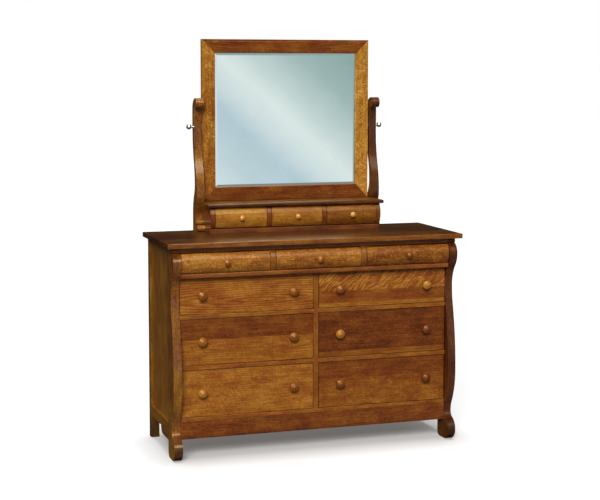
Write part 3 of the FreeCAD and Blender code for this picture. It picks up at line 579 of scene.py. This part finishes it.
# %% Looks of the drawer fronts
FRONT_LOOKS = {
    "low_drawer_left": [((1, 0.60, 0.4, 0.5, 0.1, 0.2),)],
    "low_drawer_right": [((0.62, 0.50, 0.3, 0.5, 0.1, 0.2), (1, 0.41, 0.1, 0.4, 0, 0.1))],
    "middle_drawer_left": [((0.55, 0.61, 0.4, 0.4, 0, 0.3), (1, 0.43, 0.1, 0.3, 0, 0.1))],
    "middle_drawer_right": [((0.12, 0.52, 0.4, 0.2, 0, 0.1), (1, 0.36, 0.0, 0.4, 0, 0.2))],
    "high_drawer_left": [((1, 0.60, 0.3, 0.3, 0, 0.8),)],
    "high_drawer_right": [((0.12, 0.60, 0.6, 0.2, 0, 0.1), (0.45, 0.45, 0.1, 0.3, 0, 0.1),
                           (1, 0.50, 0.1, 0.2, 1.0, 0))],
    "cushion_drawer_left": [((1, 0.59, 0.6, 1.0, 0.1, 0.2),)],
    "cushion_drawer_middle": [((1, 0.56, 0.5, 1.0, 0.1, 0.3),)],
    "cushion_drawer_right": [((1, 0.41, 0.3, 1.0, 0.3, 0.2),)],
    "deck_drawer_left": [((1, 0.66, 0.8, 0.4, 0, 0.1),)],
    "deck_drawer_middle": [((1, 0.56, 0.7, 0.4, 0, 0.3),)],
    "deck_drawer_right": [((1, 0.43, 0.6, 0.5, 0, 0.2),)],
}
# The photograph's fronts have dark lines round them, so their edges are darkened with
# painted shade, standing for the shadow in the gaps, and not worn pale.
for drawer, boards in FRONT_LOOKS.items():
    piece = wooden_piece(drawer + "_front", boards, edge_wear_or_shade=FRONT_EDGE_SHADE)
    piece.data.materials.append(FRONT_OAK)
print(len(FRONT_LOOKS), "drawer fronts")

# %% Hidden wood
HIDDEN_EDGE = 0.0004
PLAIN_BOARD = [((1, 0.5, 0.5, 0, 0, 0),)]
for node in ("drawer_runners", "centre_partition", "dust_panel"):
    wooden_piece(node, PLAIN_BOARD, HIDDEN_EDGE).data.materials.append(BOX_POPLAR)
for node in ("back_panel", "deck_back", "mirror_backing"):
    wooden_piece(node, PLAIN_BOARD, HIDDEN_EDGE).data.materials.append(BACK_POPLAR)
for drawer in FRONT_LOOKS:
    wooden_piece(drawer + "_box", PLAIN_BOARD, HIDDEN_EDGE).data.materials.append(BOX_POPLAR)
print(len(FRONT_LOOKS), "drawer boxes")

# %% [markdown]
# ## Turned knobs
#
# All the wooden knobs have one profile at three sizes. A lathe in Geometry Nodes draws a
# straight line from the drawer's face, moves its points by one curve, "rise", and swells
# the line's radius by another, "swell", so both the undercut stem and the domed face come
# from the same few keys. The result is set out along the front and made a plain mesh.

# %% The knob's profile
# Turning points of the profile: place along the line, rise and swell as shares.
KNOB_PROFILE = ((0.0, 0.0, 0.42), (0.10, 0.18, 0.34), (0.20, 0.345, 0.44), (0.30, 0.375, 0.64),
                (0.40, 0.42, 0.86), (0.50, 0.50, 0.965), (0.60, 0.62, 1.0), (0.68, 0.75, 0.965),
                (0.76, 0.86, 0.86), (0.88, 0.965, 0.45), (1.0, 1.0, 0.0))


def turning_curve(tree, factor, column):
    """The rise or the swell of the knob's profile along the line."""
    item = add_node(tree, "ShaderNodeFloatCurve", {"Value": factor})
    points = item.mapping.curves[0].points
    for key in KNOB_PROFILE[1:-1]:
        points.new(key[0], key[column])
    for point, key in zip(points, KNOB_PROFILE):
        point.location = (key[0], key[column])
    item.mapping.update()
    return item.outputs["Value"]


def new_tree(name, inputs):
    """A geometry tree with named inputs, and its group input node."""
    tree = bpy.data.node_groups.new(name, "GeometryNodeTree")
    tree.interface.new_socket("Geometry", in_out="OUTPUT", socket_type="NodeSocketGeometry")
    for title, kind in inputs:
        tree.interface.new_socket(title, in_out="INPUT", socket_type=kind)
    return tree, tree.nodes.new("NodeGroupInput")


print(len(KNOB_PROFILE), "turning points")


# %% Lathe for the knobs
LATHE_STOPS = 49
LATHE_SIDES = 40
POLE_WIDTH = 0.0001
POLE_MERGE = 0.00005


def lathe_turning(tree, given):
    """One knob, turned round the line that runs out from the drawer's face."""
    line = add_node(tree, "GeometryNodeCurvePrimitiveLine", {
        "Start": (0, 0, 0), "End": (0, -1, 0)})
    line = add_node(tree, "GeometryNodeResampleCurve", {
        "Curve": line, "Count": LATHE_STOPS})
    factor = add_node(tree, "GeometryNodeSplineParameter").outputs["Factor"]
    rise = add_node(tree, "ShaderNodeVectorMath", {
        "operation": "SCALE", 0: (0, -1, 0), "Scale": turning_curve(tree, factor, 1)})
    place = add_node(tree, "ShaderNodeVectorMath", {
        "operation": "SCALE", 0: rise, "Scale": given.outputs["Length"]})
    line = add_node(tree, "GeometryNodeSetPosition", {
        "Geometry": line, "Position": place})
    # The pole keeps a hair's width, so the merge closes it to one point.
    swell = add_node(tree, "ShaderNodeMath", {
        "operation": "MAXIMUM", 0: turning_curve(tree, factor, 2), 1: POLE_WIDTH})
    radius = add_node(tree, "ShaderNodeMath", {
        "operation": "MULTIPLY", 0: swell, 1: given.outputs["Radius"]})
    ring = add_node(tree, "GeometryNodeCurvePrimitiveCircle", {
        "Resolution": LATHE_SIDES, "Radius": 1.0})
    turned = add_node(tree, "GeometryNodeCurveToMesh", {
        "Curve": line, "Profile Curve": ring,
        "Scale": radius, "Fill Caps": True})
    return add_node(tree, "GeometryNodeMergeByDistance", {
        "Geometry": turned, "Distance": POLE_MERGE})


def knob_tree(material):
    """One or two knobs on a drawer, each with a tone of its own."""
    tree, given = new_tree("turned_knobs", (
        ("Radius", "NodeSocketFloat"), ("Length", "NodeSocketFloat"),
        ("First", "NodeSocketVector"), ("Step", "NodeSocketVector"), ("Count", "NodeSocketInt"),
        ("Tones", "NodeSocketVector"), ("Seed", "NodeSocketFloat")))
    row = add_node(tree, "GeometryNodeMeshLine", {
        "Count": given.outputs["Count"], "Start Location": given.outputs["First"],
        "Offset": given.outputs["Step"]})
    solid = add_node(tree, "GeometryNodeInstanceOnPoints", {
        "Points": row, "Instance": lathe_turning(tree, given)})
    number = add_node(tree, "GeometryNodeInputIndex")
    tones = add_node(tree, "ShaderNodeSeparateXYZ", {0: given.outputs["Tones"]})
    tone = add_node(tree, "GeometryNodeSwitch", {
        "input_type": "FLOAT", 0: number, 1: tones.outputs["X"], 2: tones.outputs["Y"]})
    # The paler a knob, the more golden it is.
    hue = add_node(tree, "ShaderNodeMapRange", {
        "Value": tone, "From Min": 0.35, "From Max": 0.85, "To Max": 0.9})
    colour = add_node(tree, "ShaderNodeCombineXYZ", {
        "X": tone, "Y": hue})
    for name, value in (("colour", colour), ("figure", (0.1, 0.0, 0.0))):
        solid = add_node(tree, "GeometryNodeStoreNamedAttribute", {
            "data_type": "FLOAT_VECTOR", "domain": "INSTANCE", "Geometry": solid, "Name": name,
            "Value": value})
    solid = add_node(tree, "GeometryNodeRealizeInstances", {"Geometry": solid})
    # A knob's grain runs along its own stem, so its face shows end grain.
    spot = add_node(tree, "ShaderNodeVectorMath", {
        "operation": "ADD", 0: add_node(tree, "GeometryNodeInputPosition"),
        1: given.outputs["Seed"]})
    axes = add_node(tree, "ShaderNodeSeparateXYZ", {0: spot}).outputs
    grain = add_node(tree, "ShaderNodeCombineXYZ", {
        "X": axes["Y"], "Y": axes["Z"], "Z": axes["X"]})
    solid = add_node(tree, "GeometryNodeStoreNamedAttribute", {
        "data_type": "FLOAT_VECTOR", "domain": "POINT", "Geometry": solid, "Name": "grain",
        "Value": grain})
    solid = add_node(tree, "GeometryNodeSetShadeSmooth", {"Geometry": solid})
    solid = add_node(tree, "GeometryNodeSetMaterial", {"Geometry": solid, "Material": material})
    add_node(tree, "NodeGroupOutput", {0: solid})
    return tree


KNOBS = knob_tree(FRONT_OAK)
print("knob tree:", len(KNOBS.nodes), "nodes")


# %% Knobs on their drawers
def made_by_nodes(name, tree, values):
    """Run a geometry tree with the given inputs and return its result as a plain object."""
    carrier = bpy.data.objects.new("carrier", bpy.data.meshes.new("carrier"))
    bpy.context.collection.objects.link(carrier)
    modifier = carrier.modifiers.new("nodes", "NODES")
    modifier.node_group = tree
    for socket in tree.interface.items_tree:
        if socket.in_out == "INPUT":
            modifier[socket.identifier] = values[socket.name]
    depsgraph = bpy.context.evaluated_depsgraph_get()
    mesh = bpy.data.meshes.new_from_object(carrier.evaluated_get(depsgraph))
    bpy.data.objects.remove(carrier)
    mesh.name = name
    piece = bpy.data.objects.new(name, mesh)
    bpy.context.collection.objects.link(piece)
    return piece


SEED_STEP = 0.37
# Tones of the left and right knob of each large drawer, or of a small drawer's one knob.
KNOB_TONES = {
    "low_drawer_left": (0.71, 0.52), "low_drawer_right": (0.48, 0.32),
    "middle_drawer_left": (0.57, 0.53), "middle_drawer_right": (0.69, 0.41),
    "high_drawer_left": (0.60, 0.55), "high_drawer_right": (0.52, 0.70),
    "cushion_drawer_left": (0.56,), "cushion_drawer_middle": (0.68,),
    "cushion_drawer_right": (0.46,), "deck_drawer_left": (0.94,),
    "deck_drawer_middle": (0.88,), "deck_drawer_right": (0.92,),
}
for seed, (drawer, tones) in enumerate(KNOB_TONES.items()):
    node = drawer + ("_knobs" if len(tones) == 2 else "_knob")
    low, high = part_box(node)
    radius = (high.z - low.z) / 2
    first = Vector((low.x + radius, high.y, (low.z + high.z) / 2))
    step = Vector((high.x - low.x - radius * 2, 0, 0))
    piece = made_by_nodes(drawer + "_turned_knobs", KNOBS, {
        "Radius": radius, "Length": high.y - low.y, "First": first, "Step": step,
        "Count": len(tones), "Tones": (tones[0], tones[-1], 0), "Seed": seed * SEED_STEP})
    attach(piece, BODY_OF[node])
    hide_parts(node)
print("triangles on the last knob:", sum(len(face.vertices) - 2 for face in piece.data.polygons))

# %% [markdown]
# ## Mirror and its clamps
#
# The glass is drawn as silver behind a faint green-grey, and not quite flat, so what it
# mirrors wavers a little. The clamp knobs are taken to be nickel plated, and the plate
# dulled by fine scratches.

# %% Mirror glass
def silvered_glass():
    """Plate glass, seen as the silver behind it shows through."""
    material, tree = new_material("plate_glass_silvered")
    place = add_node(tree, "ShaderNodeTexCoord").outputs["Object"]
    waver = add_node(tree, "ShaderNodeTexNoise", {"Scale": 3.0, "Detail": 1.0, "Vector": place})
    bump = add_node(tree, "ShaderNodeBump", {
        "Strength": 0.05, "Distance": 0.002, "Height": waver.outputs["Fac"]})
    cloud = add_node(tree, "ShaderNodeTexNoise", {
        "Scale": 9.0, "Detail": 6.0, "Vector": place}).outputs["Fac"]
    tint = add_node(tree, "ShaderNodeMix", {
        "data_type": "RGBA", 0: cloud, 6: linear("dfe8e6"), 7: linear("eef4f2")})
    rough = add_node(tree, "ShaderNodeMapRange", {
        "Value": cloud, "From Min": 0.3, "From Max": 0.8, "To Min": 0.015, "To Max": 0.05})
    shader = add_node(tree, "ShaderNodeBsdfPrincipled", {
        "Metallic": 1.0, "Base Color": tint.outputs[2], "Roughness": rough,
        "Normal": bump.outputs["Normal"]})
    add_node(tree, "ShaderNodeOutputMaterial", {"Surface": shader})
    return material


GLASS = silvered_glass()
NODES["mirror_glass"].data.materials.clear()
NODES["mirror_glass"].data.materials.append(GLASS)
print("mirror:", GLASS.name)


# %% Nickel
def dulled_nickel():
    """Nickel plate with fine scratches round its axis and a cloudy film."""
    material, tree = new_material("nickel_plate_dulled")
    place = add_node(tree, "ShaderNodeTexCoord").outputs["Object"]
    lines = streaks(tree, place, 0.7, 17, 3.0)
    cloud = add_node(tree, "ShaderNodeTexNoise", {
        "Scale": 120.0, "Detail": 3.0, "Vector": place}).outputs["Fac"]
    colour = add_node(tree, "ShaderNodeMix", {
        "data_type": "RGBA", 0: cloud, 6: linear("b5ae9f"), 7: linear("e4ddcd")})
    film = add_node(tree, "ShaderNodeMix", {0: 0.5, 2: lines, 3: cloud})
    rough = add_node(tree, "ShaderNodeMapRange", {
        "Value": film, "From Min": 0.2, "From Max": 0.8, "To Min": 0.28,
        "To Max": 0.45})
    bump = add_node(tree, "ShaderNodeBump", {"Strength": 0.1, "Distance": 0.0001, "Height": lines})
    shader = add_node(tree, "ShaderNodeBsdfPrincipled", {
        "Metallic": 1.0, "Base Color": colour.outputs[2], "Roughness": rough,
        "Normal": bump.outputs["Normal"]})
    add_node(tree, "ShaderNodeOutputMaterial", {"Surface": shader})
    return material


NICKEL = dulled_nickel()
for node in ("clamp_knob_left", "clamp_knob_right"):
    NODES[node].data.materials.clear()
    NODES[node].data.materials.append(NICKEL)
print("clamps:", NICKEL.name)

# %% [markdown]
# ## Screws that hold the backs
#
# The photograph doesn't show the backs. Slotted steel screws are taken to hold the
# case's back, the deck's back and the mirror's backing. One head is drawn in mesh code,
# with its slot cut in; the tree repeats it round an oblong and turns each head by its
# own random angle, because nobody lines them up.

# %% Screw head
SCREW_RADIUS = 0.0042
SCREW_RISE = 0.0012
SCREW_SIDES = 24
# The dome's rings: height and radius as shares of the two above.
SCREW_RINGS = ((0.0, 1.0), (0.35, 0.97), (0.75, 0.72), (0.95, 0.4))
# Half the slot's width as a share of the radius, with a margin for picking its corners,
# and the share of the height that the slot leaves.
SLOT_HALF, SLOT_REACH, SLOT_LEAVES = 0.12, 0.13, 0.4


def screw_head():
    """A low domed head on its back, with a slot across it."""
    head = bmesh.new()
    turns = [turn * math.tau / SCREW_SIDES for turn in range(SCREW_SIDES)]
    rows = [[head.verts.new((math.cos(turn) * SCREW_RADIUS * share, SCREW_RISE * rise,
                             math.sin(turn) * SCREW_RADIUS * share))
             for turn in turns] for rise, share in SCREW_RINGS]
    for inner, outer in zip(rows[1:], rows[:-1]):
        for turn in range(SCREW_SIDES):
            after = (turn + 1) % SCREW_SIDES
            head.faces.new((outer[turn], inner[turn], inner[after], outer[after]))
    head.faces.new(rows[-1][::-1])
    head.faces.new(rows[0])
    for offset in (-SLOT_HALF, SLOT_HALF):
        bmesh.ops.bisect_plane(head, geom=head.verts[:] + head.edges[:] + head.faces[:],
                               plane_co=(0, 0, SCREW_RADIUS * offset), plane_no=(0, 0, 1))
    for vertex in head.verts:
        if abs(vertex.co.z) < SCREW_RADIUS * SLOT_REACH and vertex.co.y > 0:
            vertex.co.y *= SLOT_LEAVES
    bmesh.ops.recalc_face_normals(head, faces=head.faces[:])
    mesh = bpy.data.meshes.new("screw_head")
    head.to_mesh(mesh)
    head.free()
    return bpy.data.objects.new("screw_head", mesh)


SCREW_HEAD = screw_head()
print("faces on a screw's head:", len(SCREW_HEAD.data.polygons))


# %% Steel
def darkened_steel():
    """Blued steel, worn bright here and there."""
    material, tree = new_material("steel_blued_and_worn")
    place = add_node(tree, "ShaderNodeTexCoord").outputs["Object"]
    wear = add_node(tree, "ShaderNodeTexNoise", {
        "Scale": 400.0, "Detail": 4.0, "Vector": place}).outputs["Fac"]
    colour = add_node(tree, "ShaderNodeMix", {
        "data_type": "RGBA", 0: wear, 6: linear("3c3834"), 7: linear("8d877e")})
    rough = add_node(tree, "ShaderNodeMapRange", {
        "Value": wear, "From Min": 0.3, "From Max": 0.7, "To Min": 0.3, "To Max": 0.55})
    shader = add_node(tree, "ShaderNodeBsdfPrincipled", {
        "Metallic": 1.0, "Base Color": colour.outputs[2], "Roughness": rough})
    add_node(tree, "ShaderNodeOutputMaterial", {"Surface": shader})
    return material


# %% Rows of screws
def screw_tree(head, material):
    """Screw heads set round an oblong on a back board, each turned its own way."""
    tree, given = new_tree("screws_round_an_oblong", (
        ("Centre", "NodeSocketVector"), ("Width", "NodeSocketFloat"),
        ("Height", "NodeSocketFloat"), ("Spacing", "NodeSocketFloat"), ("Seed", "NodeSocketInt")))
    oblong = add_node(tree, "GeometryNodeCurvePrimitiveQuadrilateral", {
        "Width": given.outputs["Width"], "Height": given.outputs["Height"]})
    # The oblong is drawn lying down, and is stood up against the back.
    stood = add_node(tree, "GeometryNodeTransform", {
        "Geometry": oblong, "Rotation": (math.pi / 2, 0, 0),
        "Translation": given.outputs["Centre"]})
    points = add_node(tree, "GeometryNodeResampleCurve", {
        "mode": "LENGTH", "Curve": stood, "Length": given.outputs["Spacing"]})
    shape = add_node(tree, "GeometryNodeObjectInfo", {"Object": head})
    angle = add_node(tree, "FunctionNodeRandomValue", {3: math.pi, "Seed": given.outputs["Seed"]})
    turn = add_node(tree, "ShaderNodeCombineXYZ", {"Y": angle.outputs[1]})
    solid = add_node(tree, "GeometryNodeInstanceOnPoints", {
        "Points": points, "Instance": shape.outputs["Geometry"],
        "Rotation": turn})
    solid = add_node(tree, "GeometryNodeRealizeInstances", {"Geometry": solid})
    solid = add_node(tree, "GeometryNodeSetMaterial", {
        "Geometry": solid, "Material": material})
    add_node(tree, "NodeGroupOutput", {0: solid})
    return tree


SCREW_INSET = 0.018
SCREWS = screw_tree(SCREW_HEAD, darkened_steel())
for seed, (node, spacing) in enumerate((("back_panel", 0.24), ("deck_back", 0.16),
                                        ("mirror_backing", 0.15))):
    low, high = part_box(node)
    piece = made_by_nodes(node + "_screws", SCREWS, {
        "Centre": Vector(((low.x + high.x) / 2, high.y, (low.z + high.z) / 2)),
        "Width": high.x - low.x - SCREW_INSET * 2, "Height": high.z - low.z - SCREW_INSET * 2,
        "Spacing": spacing, "Seed": seed})
    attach(piece, BODY_OF[node])
    print(node, "screw faces:", len(piece.data.polygons))

# %% [markdown]
# ## Suns
#
# The photograph's ground is white. Two broad suns light the dresser: the key comes from
# the upper left, and a weaker one from overhead drops the shadow between the feet. Suns
# reach everywhere alike, so the floor is white all round.

# %% Suns
def sun(name, azimuth, elevation, strength, spread, colour):
    """A sun seen at an azimuth, 0 in front and 90 on the right, and an elevation."""
    lamp = bpy.data.lights.new(name, "SUN")
    lamp.energy = strength
    lamp.angle = math.radians(spread)
    lamp.color = linear(colour)[:3]
    item = bpy.data.objects.new(name, lamp)
    item.rotation_euler = Euler((math.radians(90 - elevation), 0, math.radians(azimuth)))
    bpy.context.collection.objects.link(item)
    return item


KEY = sun("key", azimuth=-25, elevation=33, strength=3.2, spread=26, colour="fffbf5")
OVERHEAD = sun("overhead", azimuth=0, elevation=92, strength=2.6, spread=16, colour="ffffff")
print("suns:", KEY.name, OVERHEAD.name)

# %% [markdown]
# ## Studio round the dresser
#
# The world is white where the camera sees it, and a plain soft light on matt surfaces.
# Gloss shows the room: a pale wall that fades along a diagonal, which is what the mirror
# shows, a softbox above it that lights the crests of the cushions and scrolls, the floor
# below, grey walls in front and at the sides, and the dark rest of the studio behind.

# %% World
world = bpy.data.worlds.new("studio")
world.use_nodes = True
tree = world.node_tree
tree.nodes.clear()
path = add_node(tree, "ShaderNodeLightPath").outputs
way = add_node(tree, "ShaderNodeSeparateXYZ",
               {0: add_node(tree, "ShaderNodeTexCoord").outputs["Generated"]}).outputs


def region(limits):
    """A share from 0 to 1 of directions: each limit fades in from one value to another."""
    share = 1.0
    for axis, start, end in limits:
        edge = add_node(tree, "ShaderNodeMapRange", {
            "interpolation_type": "SMOOTHSTEP", "Value": way[axis], "From Min": start,
            "From Max": end})
        share = add_node(tree, "ShaderNodeMath", {
            "operation": "MULTIPLY", 0: share, 1: edge})
    return share


# These two factors and the offset run from 0 to 1 over what the upright mirror shows.
WALL_ACROSS, WALL_UP, WALL_START = 5.3, 5.4, -0.95
slant = add_node(tree, "ShaderNodeMath", {
    "operation": "MULTIPLY_ADD", 0: way["X"], 1: WALL_ACROSS, 2: WALL_START})
slant = add_node(tree, "ShaderNodeMath", {
    "operation": "MULTIPLY_ADD", 0: way["Z"], 1: WALL_UP, 2: slant})
WALL_STOPS = ((0.0, "e4eef3"), (0.14, "cfdfe8"), (0.30, "c4d7e2"), (0.41, "e4eef1"),
              (0.51, "f2f8f7"), (0.60, "d8e5e5"), (0.78, "b0c5c5"), (0.95, "9ab2b0"))
wall = add_node(tree, "ShaderNodeValToRGB", {"Fac": slant})
set_stops(wall, WALL_STOPS)
print(len(WALL_STOPS), "colours across the wall")

# %% What gloss shows, and what lights matt surfaces
# Each place in the room: along an axis of the direction, where it fades in.
IN_FRONT = (("Y", 0.1, -0.3),)
FLOOR_AHEAD = (("Y", -0.2, -0.5), ("Z", -0.14, -0.20))
PALE_WALL = (("Y", -0.5, -0.8), ("Z", -0.13, -0.10), ("Z", 0.30, 0.22))
SOFTBOX = (("Y", -0.05, -0.25), ("Z", 0.34, 0.44), ("Z", 0.76, 0.68), ("X", 0.44, 0.24),
           ("X", -0.6, -0.4))

room = linear("2a2724")
for limits, colour in ((IN_FRONT, linear("6f7273")), (FLOOR_AHEAD, linear("928f8a")),
                       (PALE_WALL, wall.outputs["Color"])):
    room = add_node(tree, "ShaderNodeMix", {
        "data_type": "RGBA", 0: region(limits), 6: room, 7: colour}).outputs[2]
room = add_node(tree, "ShaderNodeBackground", {"Strength": 1.0, "Color": room})
softbox = add_node(tree, "ShaderNodeBackground", {"Strength": 8.0, "Color": linear("fff3dc")})
glossy = add_node(tree, "ShaderNodeMixShader", {
    0: region(SOFTBOX), 1: room, 2: softbox})
# Matt surfaces see less light from below than from above.
sky = add_node(tree, "ShaderNodeMapRange", {
    "Value": way["Z"], "From Min": -0.4, "From Max": 0.4, "To Min": 0.12, "To Max": 0.42})
matt = add_node(tree, "ShaderNodeBackground", {
    "Color": linear("fff1e4"), "Strength": sky})
lit = add_node(tree, "ShaderNodeMixShader", {
    0: path["Is Glossy Ray"], 1: matt, 2: glossy})
white = add_node(tree, "ShaderNodeBackground", {"Color": linear("ffffff"), "Strength": 1.0})
seen = add_node(tree, "ShaderNodeMath", {
    "operation": "MAXIMUM", 0: path["Is Camera Ray"], 1: path["Is Transmission Ray"]})
final = add_node(tree, "ShaderNodeMixShader", {
    0: seen, 1: lit, 2: white})
add_node(tree, "ShaderNodeOutputWorld", {"Surface": final})
bpy.context.scene.world = world
print("world:", len(tree.nodes), "nodes")

# %% [markdown]
# ## Floor
#
# White paper runs under and behind the dresser. It takes the shadow, and for the camera
# it keeps a small glow of its own, as overlit paper does, so the shadow stays a soft grey.

# %% Floor
FLOOR_HALF = 40
PAPER_GLOW = 0.12
floor_mesh = bpy.data.meshes.new("studio_floor")
floor_mesh.from_pydata([(-FLOOR_HALF, -FLOOR_HALF, 0), (FLOOR_HALF, -FLOOR_HALF, 0),
                        (FLOOR_HALF, FLOOR_HALF, 0), (-FLOOR_HALF, FLOOR_HALF, 0)], [],
                       [(0, 1, 2, 3)])
paper, tree = new_material("studio_paper_white")
matt = add_node(tree, "ShaderNodeBsdfDiffuse", {"Color": linear("d0d3d6")})
glow = add_node(tree, "ShaderNodeEmission", {"Color": linear("ffffff"), "Strength": 1.0})
share = add_node(tree, "ShaderNodeMath", {
    "operation": "MULTIPLY", 0: add_node(tree, "ShaderNodeLightPath").outputs["Is Camera Ray"],
    1: PAPER_GLOW})
surface = add_node(tree, "ShaderNodeMixShader", {
    0: share, 1: matt, 2: glow})
add_node(tree, "ShaderNodeOutputMaterial", {"Surface": surface})
floor_mesh.materials.append(paper)
floor = bpy.data.objects.new("studio_floor", floor_mesh)
floor.visible_glossy = False
floor.visible_diffuse = False
bpy.context.collection.objects.link(floor)
print("floor:", FLOOR_HALF * 2, "m square")
